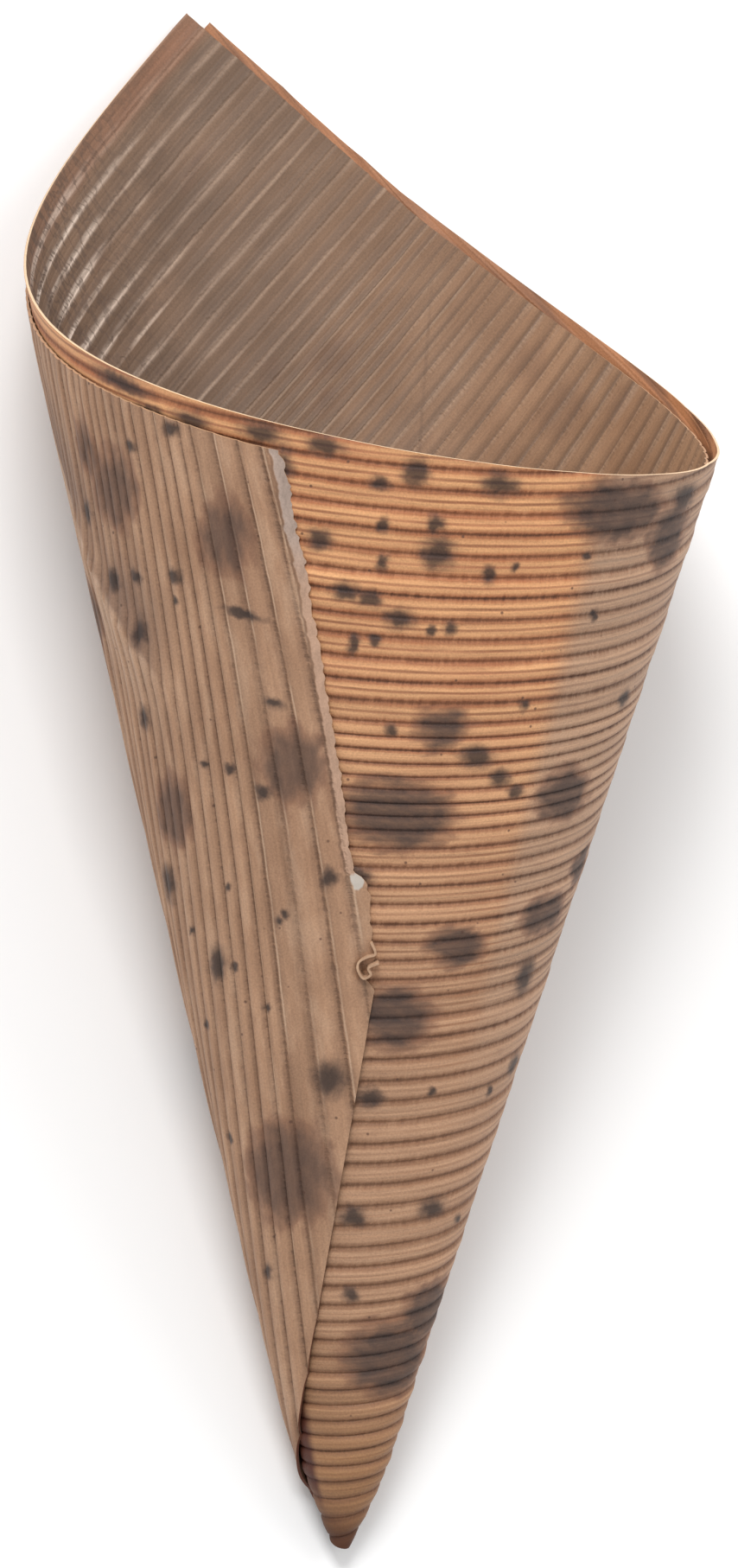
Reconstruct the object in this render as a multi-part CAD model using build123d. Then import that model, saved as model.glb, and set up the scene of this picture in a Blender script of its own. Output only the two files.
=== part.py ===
from build123d import *
import math
import os

os.makedirs("parts", exist_ok=True)

# A finger food cone: one rectangular piece of dried leaf, rolled into a pointed cone.
# Millimetres and degrees. The leaf is drawn flat first, with its ribs along X and the apex of
# the roll at the flat origin, and is then wound about that apex. A flat angle is measured at
# the apex, from the flat Y axis towards X. A turn is measured about the cone's axis, from the
# line where the rim comes nearest to the apex.

# The flat leaf
leaf_left = 89.0            # from the apex to the short edge that ends up inside
leaf_right = 88.0           # from the apex to the short edge that ends up outside
rim_distance = 90.0         # from the apex to the long edge that becomes the rim
tip_distance = 5.0          # from the apex to the long edge that becomes the tip
tip_edge_rise = 1.0         # how far that edge has climbed where the torn corner begins
tear_start = 49.0           # along the tip edge, where the torn corner begins
tear_rise = 14.3            # how far the tear climbs by the outer short edge
sheet_thickness = 0.4       # with its ribs

# The roll
wide_half_angle = 15.7      # of the cone, across its wider way
narrow_half_angle = 13.2    # of the cone, across its narrower way
wide_turn = 52.0            # where the wider way lies
layer_gap = 0.2             # of air between one turn of the leaf and the next
underside_turn = 159.0      # the way that the underside faces when the cone lies down
underside_half_turn = 18.0  # each side of its middle, the part of the wall pressed flat there

# How finely the roll is worked out
winding_turn = 0.5          # between the steps that measure one turn
facet_turn = 4.0            # between the wall's straight lines, each facet flat between two

wide = math.tan(math.radians(wide_half_angle))
narrow = math.tan(math.radians(narrow_half_angle))
wide_at = math.radians(wide_turn)
under_at = math.radians(underside_turn)
under_half = math.radians(underside_half_turn)
winding_steps = round(360 / winding_turn)
step = 2 * math.pi / winding_steps
layer_step = sheet_thickness + layer_gap

# The cone's section at unit height is an ellipse with a straight chord on the underside
under_reach = math.hypot(wide * math.cos(under_at - wide_at), narrow * math.sin(under_at - wide_at))
under_depth = under_reach * math.cos(under_half)
under_normal = Vector(math.cos(under_at), math.sin(under_at), -under_depth).normalized()


def ellipse_turn(eccentric):
    """The turn of the ellipse's point at an eccentric angle."""
    return wide_at + math.atan2(narrow * math.sin(eccentric), wide * math.cos(eccentric))


under_middle = math.atan2(narrow * math.sin(under_at - wide_at), wide * math.cos(under_at - wide_at))
flat_start = ellipse_turn(under_middle - under_half)
flat_end = ellipse_turn(under_middle + under_half)


def slope_direction(turn):
    """Unit vector from the apex along the cone's wall, at a turn in radians."""
    across, along = math.cos(turn - wide_at), math.sin(turn - wide_at)
    radius = wide * narrow / math.hypot(narrow * across, wide * along)
    if flat_start < turn < flat_end:
        radius = under_depth / math.cos(turn - under_at)
    return Vector(radius * math.cos(turn), radius * math.sin(turn), 1).normalized()


def outward_at(turn):
    """Unit vector straight out of the cone's wall."""
    if flat_start - step / 2 < turn < flat_end + step / 2:
        return under_normal
    round_it = slope_direction(turn + step) - slope_direction(turn - step)
    return round_it.cross(slope_direction(turn)).normalized()


# One turn opened flat, and how far the spiral has grown, at each step round the axis. The
# spiral stands still over the flat of the underside, which stays a plane.
flat_angles = [0.0]
growths = [0.0]
for i in range(winding_steps):
    width = (slope_direction((i + 1) * step) - slope_direction(i * step)).length
    flat_angles.append(flat_angles[-1] + width)
    growths.append(growths[-1] + (0 if flat_start < (i + 0.5) * step < flat_end else width))
full_turn = flat_angles[-1]


def between(values, place):
    """The value at a fractional place in a list of one turn's steps."""
    low = min(int(place), winding_steps - 1)
    return values[low] + (place - low) * (values[low + 1] - values[low])


def place_at(flat_angle):
    """The whole laps of a flat angle, and its fractional step within the lap."""
    laps, rest = divmod(flat_angle, full_turn)
    low, high = 0, winding_steps
    while high - low > 1:
        middle = (low + high) // 2
        if flat_angles[middle] <= rest:
            low = middle
        else:
            high = middle
    return laps, low + (rest - flat_angles[low]) / (flat_angles[high] - flat_angles[low])


def wound(flat_angle, distance, height):
    """Where a point of the flat leaf goes, at a height over the leaf's inner face."""
    laps, place = place_at(flat_angle)
    turn = place * step
    spiral = layer_step * (laps + between(growths, place) / growths[-1])
    return slope_direction(turn) * distance + outward_at(turn) * (spiral + height)


def near_edge(flat_angle):
    """Distance from the apex to the edge at the tip, which slants beyond the flat Y axis."""
    slant = tip_edge_rise / tear_start if flat_angle > 0 else 0
    return tip_distance / (math.cos(flat_angle) - slant * math.sin(flat_angle))


def far_edge(flat_angle):
    """Distance from the apex to the rim, a short edge or the tear, whichever comes first."""
    x, y = math.sin(flat_angle), math.cos(flat_angle)
    tear_slope = tear_rise / (leaf_right - tear_start)
    reaches = [rim_distance / y]
    if x:
        reaches.append((leaf_right if x > 0 else leaf_left) / abs(x))
    if tear_slope * x > y:
        reaches.append((tear_slope * tear_start - tip_distance - tip_edge_rise) / (tear_slope * x - y))
    return min(reaches)


def straight_lines():
    """The flat angles of the wall's straight lines, one at each corner and edge of the flat."""
    corners = [
        math.atan2(-leaf_left, tip_distance),
        math.atan2(-leaf_left, rim_distance),
        0.0,
        math.atan2(leaf_right, rim_distance),
        math.atan2(leaf_right, tip_distance + tip_edge_rise + tear_rise),
        math.atan2(tear_start, tip_distance + tip_edge_rise),
    ]
    spans = [[between(flat_angles, turn / step) + lap * full_turn for turn in (flat_start, flat_end)]
             for lap in (-1, 0)]
    stops = sorted(corners + spans[0] + spans[1])
    lines = [stops[0]]
    for low, high in zip(stops, stops[1:]):
        on_flat = any(start < (low + high) / 2 < end for start, end in spans)
        facets = 1 if on_flat else math.ceil((high - low) / (full_turn * facet_turn / 360))
        lines += [low + (high - low) * (i + 1) / facets for i in range(facets)]
    return lines


def triangles(a, b, c, d):
    """Two flat faces over four points in order, or one where the two points at an end meet."""
    faces = []
    for points in ((a, b, c), (a, c, d)):
        if min((p - q).length for p, q in zip(points, points[1:] + points[:1])) > layer_gap / 10:
            faces.append(Face(Wire.make_polygon(points, close=True)))
    return faces


def make_leaf():
    """The rolled leaf: its inner and outer face and its edges, closed at a point at both ends."""
    lines = straight_lines()
    edges = [[wound(line, edge(line), height) for line in lines]
             for edge in (near_edge, far_edge) for height in (0, sheet_thickness)]
    near_in, near_out, far_in, far_out = edges
    faces = []
    for low, high in ((near_in, far_in), (near_out, far_out), (near_in, near_out), (far_in, far_out)):
        for i in range(len(lines) - 1):
            faces += triangles(low[i], low[i + 1], high[i + 1], high[i])
    return Solid(Shell(faces))


def lay_down(leaf):
    """Lay the cone on the flat of its underside, tip towards -Y, centred over the origin."""
    along = Vector(under_depth * math.cos(under_at), under_depth * math.sin(under_at), 1)
    lying = Plane(origin=(0, 0, 0), x_dir=under_normal.cross(along), z_dir=-under_normal)
    laid = lying.to_local_coords(leaf)
    box = laid.bounding_box()
    return laid.moved(Location((-box.center().X, -box.center().Y, -box.min.Z)))


rolled_leaf = lay_down(make_leaf())
print("one turn opened flat:", round(math.degrees(full_turn), 2), "degrees")
print("leaf volume:", round(rolled_leaf.volume, 1), "mm3, size", rolled_leaf.bounding_box().size)
export_step(rolled_leaf, "parts/rolled_leaf.step")
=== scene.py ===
# %% [markdown]
# A finger food cone: one rectangle of dried leaf, rolled into a point. The finished pieces are in
# metres and in the frame of the CAD model, where the cone lies on its side with its tip towards
# -Y. The leaf is drawn flat first, in millimetres, and then wound up by a node tree, because the
# ribs, the blotches and the torn edge are all easier to describe on the flat leaf.

# %% Load the frame
import math
import random

import bmesh
import bpy
import numpy as np
from mathutils import Matrix, Vector, noise


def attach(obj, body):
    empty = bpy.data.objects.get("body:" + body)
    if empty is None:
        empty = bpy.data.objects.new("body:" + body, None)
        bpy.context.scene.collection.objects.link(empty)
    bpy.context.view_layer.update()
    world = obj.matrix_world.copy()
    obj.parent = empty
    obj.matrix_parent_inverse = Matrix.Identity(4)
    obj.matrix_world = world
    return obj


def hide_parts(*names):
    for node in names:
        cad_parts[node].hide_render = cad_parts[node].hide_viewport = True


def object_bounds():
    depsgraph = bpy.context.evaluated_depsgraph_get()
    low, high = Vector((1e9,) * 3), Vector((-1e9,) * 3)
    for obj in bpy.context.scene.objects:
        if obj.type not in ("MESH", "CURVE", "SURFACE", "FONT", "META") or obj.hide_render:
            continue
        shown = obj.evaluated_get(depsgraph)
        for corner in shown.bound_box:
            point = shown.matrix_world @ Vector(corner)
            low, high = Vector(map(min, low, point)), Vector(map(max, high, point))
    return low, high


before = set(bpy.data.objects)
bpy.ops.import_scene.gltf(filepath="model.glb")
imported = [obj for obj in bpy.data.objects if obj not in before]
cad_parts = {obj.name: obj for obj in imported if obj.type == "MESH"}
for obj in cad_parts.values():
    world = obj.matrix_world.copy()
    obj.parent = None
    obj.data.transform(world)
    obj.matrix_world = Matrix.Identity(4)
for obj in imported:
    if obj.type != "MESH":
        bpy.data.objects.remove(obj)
cad_low, cad_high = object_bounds()
print("CAD box in mm:", [round(1000 * v, 1) for v in (*cad_low, *cad_high)])


def added(name, data):
    """A new object in the scene."""
    made = bpy.data.objects.new(name, data)
    bpy.context.scene.collection.objects.link(made)
    return made


# %% [markdown]
# The leaf's sizes are the CAD model's, in millimetres on the flat leaf. X runs along the ribs,
# Y runs from the tip to the rim, and the apex of the roll is the flat origin. The torn corner
# and the short edge to the right of it end up outside, and the left end is inside the roll.

# %% Sizes of the flat leaf and of the roll
mm = 0.001
leaf_left, leaf_right = 89.0, 88.0
rim_distance, tip_distance = 90.0, 5.0
tip_edge_rise, tear_start, tear_rise = 1.0, 49.0, 14.3
sheet_thickness, layer_gap = 0.4, 0.2
wide_half_angle, narrow_half_angle, wide_turn = 15.7, 13.2, 52.0
underside_turn, underside_half_turn = 159.0, 18.0

layer_step = sheet_thickness + layer_gap
tear_slope = tear_rise / (leaf_right - tear_start)
tear_foot = tip_distance + tip_edge_rise
print("flat leaf in mm:", leaf_left + leaf_right, "by", rim_distance - tip_distance)

# %% [markdown]
# The cone's section is an ellipse with a small flat where the cone lies. A leaf can bend but
# not stretch, so a straight line from the apex stays straight, and the angle between two such
# lines is the same on the flat leaf as on the cone. It is enough to know the direction of each
# line: the guide below is a closed curve of unit directions, spaced evenly in flat angle, and
# the node tree reads it to wind the leaf up.

# %% Directions of the cone's wall
wide, narrow = math.tan(math.radians(wide_half_angle)), math.tan(math.radians(narrow_half_angle))
wide_at, under_at = math.radians(wide_turn), math.radians(underside_turn)
under_reach = math.hypot(wide * math.cos(under_at - wide_at), narrow * math.sin(under_at - wide_at))
under_depth = under_reach * math.cos(math.radians(underside_half_turn))

along = np.array([under_depth * math.cos(under_at), under_depth * math.sin(under_at), 1.0])
upward = np.array([-math.cos(under_at), -math.sin(under_at), under_depth])
along, upward = along / np.linalg.norm(along), upward / np.linalg.norm(upward)
lay_down = np.array([np.cross(along, upward), along, upward])
least_facing, fine_count, guide_count = 0.1, 7201, 720


def wall_directions(turns):
    """Unit directions from the apex along the wall, with the cone lying down."""
    across, beside = np.cos(turns - wide_at), np.sin(turns - wide_at)
    radius = wide * narrow / np.hypot(narrow * across, wide * beside)
    facing = np.cos(turns - under_at)
    flat = under_depth / np.maximum(facing, least_facing)
    radius = np.where((facing > least_facing) & (flat < radius), flat, radius)
    points = np.stack([radius * np.cos(turns), radius * np.sin(turns), np.ones_like(turns)], 1)
    return (points / np.linalg.norm(points, axis=1)[:, None]) @ lay_down.T


fine_turns = np.linspace(0, 2 * math.pi, fine_count)
fine_directions = wall_directions(fine_turns)
steps = np.linalg.norm(np.diff(fine_directions, axis=0), axis=1)
flat_angles = np.concatenate([[0], np.cumsum(steps)])
full_turn = float(flat_angles[-1])
guide_turns = np.interp(np.arange(guide_count) * full_turn / guide_count, flat_angles, fine_turns)
guide_points = wall_directions(guide_turns)
print("one turn of the cone opens to", round(math.degrees(full_turn), 2), "degrees of flat leaf")

# %% The guide, as a curve that the node tree can read
guide_curve = bpy.data.curves.new("turn_guide", "CURVE")
guide_curve.dimensions = "3D"
guide_spline = guide_curve.splines.new("POLY")
guide_spline.points.add(guide_count - 1)
for point, place in zip(guide_spline.points, guide_points):
    point.co = (*place, 1.0)
guide_spline.use_cyclic_u = True
guide = added("turn_guide", guide_curve)
print("guide:", len(guide_spline.points), "directions")


# %% [markdown]
# The CAD model is centred over the origin, so the place of the apex has to be found. The leaf's
# outline is wound up about the origin, and the apex is moved so that it fills the CAD box.

# %% Where the apex lies, so that the leaf fills the CAD box
edge_points, small_turn = 400, 0.004


def wound(x, y, height):
    """Places of flat points in millimetres, with the apex at the origin."""
    angle = np.arctan2(x, y)
    turns = np.interp(np.mod(angle, full_turn), flat_angles, fine_turns)
    direction = wall_directions(turns)
    round_it = wall_directions(turns + small_turn) - wall_directions(turns - small_turn)
    outward = np.cross(round_it, direction)
    outward /= np.linalg.norm(outward, axis=1)[:, None]
    spiral = layer_step * angle / full_turn + height
    return direction * np.hypot(x, y)[:, None] + outward * spiral[:, None]


share = np.linspace(0, 1, edge_points)
outline_x = np.concatenate([
    np.full(edge_points, -leaf_left),
    -leaf_left + share * (leaf_left + leaf_right),
    np.full(edge_points, leaf_right),
])
outline_y = np.concatenate([
    tip_distance + share * (rim_distance - tip_distance),
    np.full(edge_points, rim_distance),
    tear_foot + tear_rise + share * (rim_distance - tear_foot - tear_rise),
])
outline = np.concatenate([wound(outline_x, outline_y, height) for height in (0, sheet_thickness)])
tip_point = wound(np.zeros(1), np.full(1, tip_distance), 0)[0]
box_low, box_high = np.minimum(outline.min(0), tip_point), outline.max(0)
apex = np.array([
    1000 * (cad_low.x + cad_high.x) / 2 - (box_low[0] + box_high[0]) / 2,
    1000 * cad_high.y - box_high[1],
    1000 * cad_high.z - box_high[2],
])
print("apex of the roll in mm:", apex.round(2).tolist())

# %% [markdown]
# The ribs are the leaf's long fibres. They lie almost square to the cone's axis at the front,
# climb to the right towards the outer end, and are level at the inner end. Each has a deep
# groove on both sides and often a faint one along its middle. One formula gives the rib that a
# flat point is on, so that the mesh can have a row of points along each groove and crest, and
# the material can find the same grooves again.

# %% The rib field
first_start, last_start, table_steps = -16, 98, 4000
rib_places = [first_start, -1.6, -1.1, 7.2, 8.4, 14, 22, 30, 47, 50, 61.8, 62.6, 70.0, 70.8, last_start]
rib_pitches = [2.55, 2.55, 1.45, 1.45, 1.285, 1.235, 1.4, 1.66, 1.66, 1.46, 1.46, 1.02, 1.02, 1.62, 1.62]
top_groove = 88.15
climb_at_tip, climb_loss = 0.30, 0.0023
level_end = 70.0
flap_from, flap_bend = 50.0, 0.0057


def climb(x):
    """How far along its climb a rib is at x: level at the inner end, and steepest on the flap."""
    bent = (np.clip(x, -level_end, 0) + level_end) ** 2 - level_end ** 2
    return bent / (2 * level_end) + np.maximum(x, 0) + flap_bend * np.maximum(x - flap_from, 0) ** 2


def rib_height(start, x):
    """Y of the rib line that crosses x = 0 at start."""
    return start + (climb_at_tip - climb_loss * start) * climb(x)


def rib_start(x, y):
    """Where the rib line through a flat point crosses x = 0."""
    return (y - climb_at_tip * climb(x)) / (1 - climb_loss * climb(x))


start_table = np.linspace(first_start, last_start, table_steps)
even_table = np.cumsum(np.gradient(start_table) / np.interp(start_table, rib_places, rib_pitches))
even_table -= np.interp(top_groove, start_table, even_table) % 1
uneven_steps = 0.02 * np.sin(2.4 * even_table) + 0.015 * np.sin(4.1 * even_table + 2)
number_table = even_table + uneven_steps


def rib_number(start):
    """Number of the rib, rising by one from groove to groove, by uneven steps."""
    return np.interp(start, start_table, number_table)


print("ribs are", min(rib_pitches), "to", max(rib_pitches), "mm apart")

# %% [markdown]
# Each rib gets four rows of points: one in its groove, one on each shoulder and one on its
# crest. That is the least that shows a round rib with a sharp groove.

# %% Rows of points along the ribs
spare_below, spare_above = 2, 1
rows_of_a_rib = np.array([0, 0.16, 0.5, 0.84])
lowest_start = float(rib_start(np.array(tear_start), np.array(tear_foot))) - spare_below
highest_start = float(rib_start(np.array(-leaf_left), np.array(rim_distance))) + spare_above
first_rib, last_rib = math.floor(rib_number(lowest_start)), math.ceil(rib_number(highest_start))
row_numbers = np.add.outer(np.arange(first_rib, last_rib), rows_of_a_rib).ravel()
row_starts = np.interp(row_numbers, number_table, start_table)
print("ribs:", last_rib - first_rib, "rows of points:", len(row_starts))

# %% [markdown]
# The flat leaf is a grid of rows along the ribs. Its columns crowd together near the middle of
# the low rows, because close to the tip a few millimetres of leaf go right round the cone. The
# grid is larger than the leaf, and four straight cuts give it the rim, the tip edge and the
# tear. The faces along the tear are then divided again, to leave points for its small steps.

# %% The flat grid
left_columns, right_columns = 62, 130
left_crowding, right_crowding = 5, 16
left_shares = np.linspace(-1, 0, left_columns + 1)[:-1]
right_shares = np.linspace(0, 1, right_columns + 1)
column_count = left_columns + right_columns + 1
grid = []
for start in row_starts:
    left_crowd = np.clip(start, left_crowding, rim_distance)
    right_crowd = np.clip(start, right_crowding, rim_distance)
    x = np.concatenate([
        left_crowd * np.sinh(left_shares * np.arcsinh(leaf_left / left_crowd)),
        right_crowd * np.sinh(right_shares * np.arcsinh(leaf_right / right_crowd)),
    ])
    grid.append(np.stack([x, rib_height(start, x)], 1))
grid = np.array(grid)

corners = [r * column_count + c for r in range(len(row_starts) - 1) for c in range(column_count - 1)]
cells = [(i, i + 1, i + column_count + 1, i + column_count) for i in corners]
flat_mesh = bpy.data.meshes.new("flat_leaf")
flat_mesh.from_pydata([(x, y, 0) for x, y in grid.reshape(-1, 2)], [], cells)
print("flat grid:", len(row_starts), "rows of", column_count, "points")

# %% Cuts for the rim, the tip edge and the tear
cut_reach, least_edge = 0.01, 0.005
tear_zone, tear_zone_depth, coarse_edge, finer_cuts = 3, 1.8, 0.6, 5
cuts = [
    ((0, rim_distance, 0), (0, -1, 0)),
    ((0, tip_distance, 0), (0, 1, 0)),
    ((tear_start, tear_foot, 0), (-tip_edge_rise / tear_start, 1, 0)),
    ((tear_start, tear_foot, 0), (-tear_slope, 1, 0)),
]
work = bmesh.new()
work.from_mesh(flat_mesh)
for place, keep in cuts:
    everything = work.verts[:] + work.edges[:] + work.faces[:]
    bmesh.ops.bisect_plane(
        work, geom=everything, dist=cut_reach, plane_co=place, plane_no=keep, clear_inner=True)
bmesh.ops.dissolve_degenerate(work, dist=least_edge, edges=work.edges[:])


def tear_distance(x, y):
    """Depth of a flat point behind the tear's straight line."""
    return (y - tear_foot - tear_slope * (x - tear_start)) / math.hypot(1, tear_slope)


near_tear = [
    edge for edge in work.edges
    if edge.calc_length() > coarse_edge and min(v.co.x for v in edge.verts) > tear_start - tear_zone
    and max(tear_distance(v.co.x, v.co.y) for v in edge.verts) < tear_zone_depth
]
bmesh.ops.subdivide_edges(work, edges=near_tear, cuts=finer_cuts, use_grid_fill=True, use_single_edge=True)
work.verts.index_update()
flat_points = np.array([v.co[:2] for v in work.verts])
flat_faces = [[v.index for v in face.verts] for face in work.faces]
border = [
    (loop.vert.index, loop.link_loop_next.vert.index)
    for face in work.faces for loop in face.loops if len(loop.edge.link_faces) == 1
]
work.free()
print("flat leaf:", len(flat_points), "points,", len(flat_faces), "faces")

# %% [markdown]
# The tear follows the fibres, with a step where it jumped to another fibre, a notch at its
# start and small scallops all along. The list says how far its edge leaves the straight line,
# as it was read along the leaf. Points near it are pushed along the flat leaf, most at the edge
# itself and less with depth, so that no face turns over.

# %% The torn edge
tear_steps = [
    (46.0, 0.0), (48.6, 0.0), (49.2, 0.45), (49.8, 0.95), (50.5, 0.45), (51.1, -0.42), (52.4, -0.45),
    (54.3, -0.67), (56.1, -0.84), (57.2, -0.72), (57.5, 0.02), (59.9, 0.0), (62.9, -0.2), (65.5, -0.3),
    (72.6, -0.43), (78.6, -0.45), (80.8, -0.42), (83.1, -0.1), (85.2, -0.2), (86.7, -0.05), (88.3, 0.2),
]
scallop_depth, top_scallops, tear_fade, tear_onset = 0.24, 1.9, 1.3, 1.5
top_of_tear_begins, top_of_tear_full = 75, 81
step_x, step_y = np.array(tear_steps).T


def scallops(x):
    """Small waves along the tear, from about a millimetre apart down to single fibres."""
    return 0.7 * noise.noise((0.9 * x, 3.7, 0)) + 0.9 * noise.noise((2.0 * x, 8.1, 0))


x, y = flat_points.T
torn = np.maximum(tear_distance(x, y), 0)
beside_tear = np.clip((x - tear_start + 1) / tear_onset, 0, 1)
waves = np.array([scallops(value) for value in x])
deeper = np.interp(x, [top_of_tear_begins, top_of_tear_full], [1.0, top_scallops])
wander = np.interp(x, step_x, step_y) + scallop_depth * deeper * waves * beside_tear
y = y + np.where(x > tear_start - tear_zone, wander, 0) * np.exp(-torn / tear_fade)
flat_points = np.stack([x, y], 1)
print("tear wanders between", wander.min().round(2), "and", wander.max().round(2), "mm of its line")

# %% [markdown]
# The leaf is a slab: the same grid serves its inner and its outer face, and a strip of faces
# round the border closes it. A value called side is 0 inside and 1 outside, so it runs from 0
# to 1 across a cut edge, where the material can find it.

# %% The slab, still flat
count = len(flat_points)
slab_points = [(a, b, 0) for a, b in flat_points] * 2
slab_faces = [face[::-1] for face in flat_faces]
slab_faces += [[count + i for i in face] for face in flat_faces]
slab_faces += [[count + b, count + a, a, b] for a, b in border]
slab_mesh = bpy.data.meshes.new("rolled_leaf_sheet")
slab_mesh.from_pydata(slab_points, [], slab_faces)
slab_mesh.polygons.foreach_set("use_smooth", [True] * len(slab_mesh.polygons))
print("slab:", len(slab_mesh.vertices), "points,", len(slab_mesh.polygons), "faces")


# %% Values that the slab's points carry
def point_value(mesh, name, values):
    """Store one number on each point of a mesh."""
    stored = mesh.attributes.new(name, "FLOAT", "POINT")
    stored.data.foreach_set("value", np.asarray(values, dtype=np.float32))


def twice(values):
    """Values for the inner face's points and again for the outer face's."""
    return np.concatenate([values, values])


x, y = flat_points.T
point_value(slab_mesh, "side", np.concatenate([np.zeros(count), np.ones(count)]))
point_value(slab_mesh, "rib", twice(rib_number(rib_start(x, y))))
point_value(slab_mesh, "torn", twice(torn))
flat_place = np.stack([twice(x), twice(y), np.zeros(2 * count)], 1)
slab_mesh.attributes.new("flat", "FLOAT_VECTOR", "POINT").data.foreach_set(
    "vector", flat_place.astype(np.float32).ravel())

border_pairs = {tuple(sorted(pair)) for pair in border}
border_pairs |= {(a + count, b + count) for a, b in border_pairs}
ends = np.empty(2 * len(slab_mesh.edges), dtype=np.int32)
slab_mesh.edges.foreach_get("vertices", ends)
sharp = [tuple(sorted(pair)) in border_pairs for pair in ends.reshape(-1, 2).tolist()]
slab_mesh.attributes.new("sharp_edge", "BOOLEAN", "EDGE").data.foreach_set("value", sharp)
print("sharp edges round the slab:", sum(sharp))

# %% [markdown]
# Blotches and spots grew on the living stem, so they are places on the flat leaf, listed as x, y, width
# and height. A blotch is wider than the mesh's cells, so each mesh point gets the darkest one that covers
# it. The spots are finer than the mesh, and the material finds them from their list. The sides that are
# turned away have blotches scattered with a fixed seed.

# %% Places of the blotches and spots
blotches = [
    (6.8, 87.2, 9.4, 4.4), (13.7, 84.9, 5.0, 5.0), (-4.4, 69.5, 3.6, 3.2), (7.0, 64.9, 5.2, 4.0),
    (-6.6, 62.4, 7.8, 5.2), (7.7, 55.3, 5.2, 3.0), (-0.2, 52.8, 4.4, 2.8), (-4.0, 46.7, 5.4, 4.8),
    (0.6, 19.8, 6.8, 5.8), (3.6, 23.6, 5.0, 4.6), (12.0, 58.5, 3.2, 2.8),
    (33.0, 9.6, 7.6, 6.6), (57.6, 24.6, 5.4, 3.7), (82.6, 38.2, 3.4, 2.8), (80.9, 34.2, 5.0, 5.0),
    (80.5, 23.3, 5.2, 4.0), (64.7, 15.0, 5.2, 4.6), (68.4, 37.9, 5.0, 4.0),
]
spots = [
    (-22.0, 89.0, 3.8, 1.8), (-20.0, 86.6, 2.0, 4.2), (-17.0, 89.2, 3.2, 1.6), (-10.0, 88.5, 2.3, 2.3),
    (-3.6, 88.5, 3.4, 2.2), (14.8, 88.0, 4.2, 2.2), (-7.3, 82.7, 2.9, 2.9), (-16.1, 82.0, 2.2, 1.8),
    (-13.4, 78.6, 2.6, 1.7), (-11.6, 78.4, 2.2, 1.5), (-9.2, 77.3, 2.5, 1.8), (-1.5, 67.6, 2.8, 2.2),
    (0.6, 66.2, 2.0, 1.7), (6.8, 50.3, 2.5, 3.2), (-4.7, 40.2, 2.3, 1.8), (-4.2, 30.7, 2.3, 1.8),
    (1.8, 32.0, 2.7, 2.0), (-8.6, 57.2, 2.3, 1.7), (-31.4, 87.9, 3.4, 1.4), (-27.8, 88.3, 3.6, 1.6),
    (-34.6, 89.1, 6.6, 1.4), (12.5, 72.0, 2.0, 1.6), (8.4, 43.0, 2.2, 1.8), (-12.5, 87.2, 1.9, 1.3),
    (-7.9, 84.9, 1.6, 1.6), (-11.7, 84.1, 1.0, 1.3), (-11.2, 81.3, 1.1, 1.4), (-3.2, 81.6, 1.3, 1.5),
    (-1.3, 82.4, 0.8, 0.9), (4.6, 83.7, 0.7, 0.7), (-5.3, 77.2, 1.3, 1.2), (-6.7, 76.8, 0.9, 0.9),
    (-10.7, 75.4, 1.2, 1.1), (-12.2, 74.8, 0.9, 1.9), (6.4, 79.1, 1.0, 1.0), (1.6, 71.9, 1.0, 1.0),
    (-8.2, 68.7, 1.2, 1.0), (2.2, 65.1, 1.5, 1.2), (-0.1, 41.2, 0.9, 0.9), (-3.3, 24.5, 1.4, 1.3),
    (5.4, 41.2, 0.9, 0.9), (4.8, 31.0, 0.9, 0.9), (41.3, 7.9, 3.2, 2.7), (47.3, 18.3, 3.4, 1.9),
    (51.3, 25.0, 3.4, 2.2), (63.8, 28.8, 2.2, 1.6), (70.5, 29.8, 2.6, 1.7), (73.4, 33.5, 1.9, 1.6),
    (77.2, 37.9, 2.2, 1.8), (56.8, 10.8, 1.8, 1.5), (33.7, 15.4, 0.9, 0.9), (41.8, 19.1, 1.0, 1.0),
    (47.7, 16.8, 0.9, 0.9), (48.8, 21.4, 0.8, 0.8), (45.5, 13.6, 0.8, 0.8), (52.4, 13.9, 0.9, 0.8),
    (53.1, 13.5, 0.9, 0.8), (74.7, 30.8, 1.3, 1.4), (84.7, 32.8, 1.1, 1.1), (87.3, 29.2, 1.4, 1.6),
    (76.2, 27.0, 1.4, 1.5), (75.1, 20.8, 0.9, 3.6), (63.0, 19.8, 1.0, 1.1), (62.0, 16.9, 1.3, 1.4),
    (69.1, 17.2, 1.1, 1.6), (74.3, 26.6, 0.7, 0.7), (53.8, 18.3, 0.7, 0.7), (62.6, 22.0, 0.7, 0.7),
    (24.6, 9.9, 1.5, 1.3),
]
print("placed:", len(blotches), "blotches and", len(spots), "spots")

# %% Scattered blotches
blotch_sizes, least_stretch, most_stretch = (1.3, 1.6, 2.0, 2.6, 3.4, 4.8), 0.9, 1.4
scatter_zones = [
    ((24, 86), (46, 88), 34),
    ((18, 46), (24, 60), 16),
    ((-86, -26), (12, 84), 60),
]
chance = random.Random(5)
scattered = []
for zone_x, zone_y, number in scatter_zones:
    for _ in range(number):
        size = chance.choice(blotch_sizes)
        place = chance.uniform(*zone_x), chance.uniform(*zone_y)
        scattered.append((*place, size * chance.uniform(least_stretch, most_stretch), size))
print("scattered:", len(scattered), "blotches")

# %% Blotches on the flat leaf
blotch_softness = 0.42
edge_bend_x, edge_bend_y = 1.00, 0.75


def edge_noise(x, y, layer):
    """Noise that bends the edges, so that no blotch is a plain ellipse."""
    return noise.noise((0.9 * x, 1.3 * y, layer))


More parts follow.
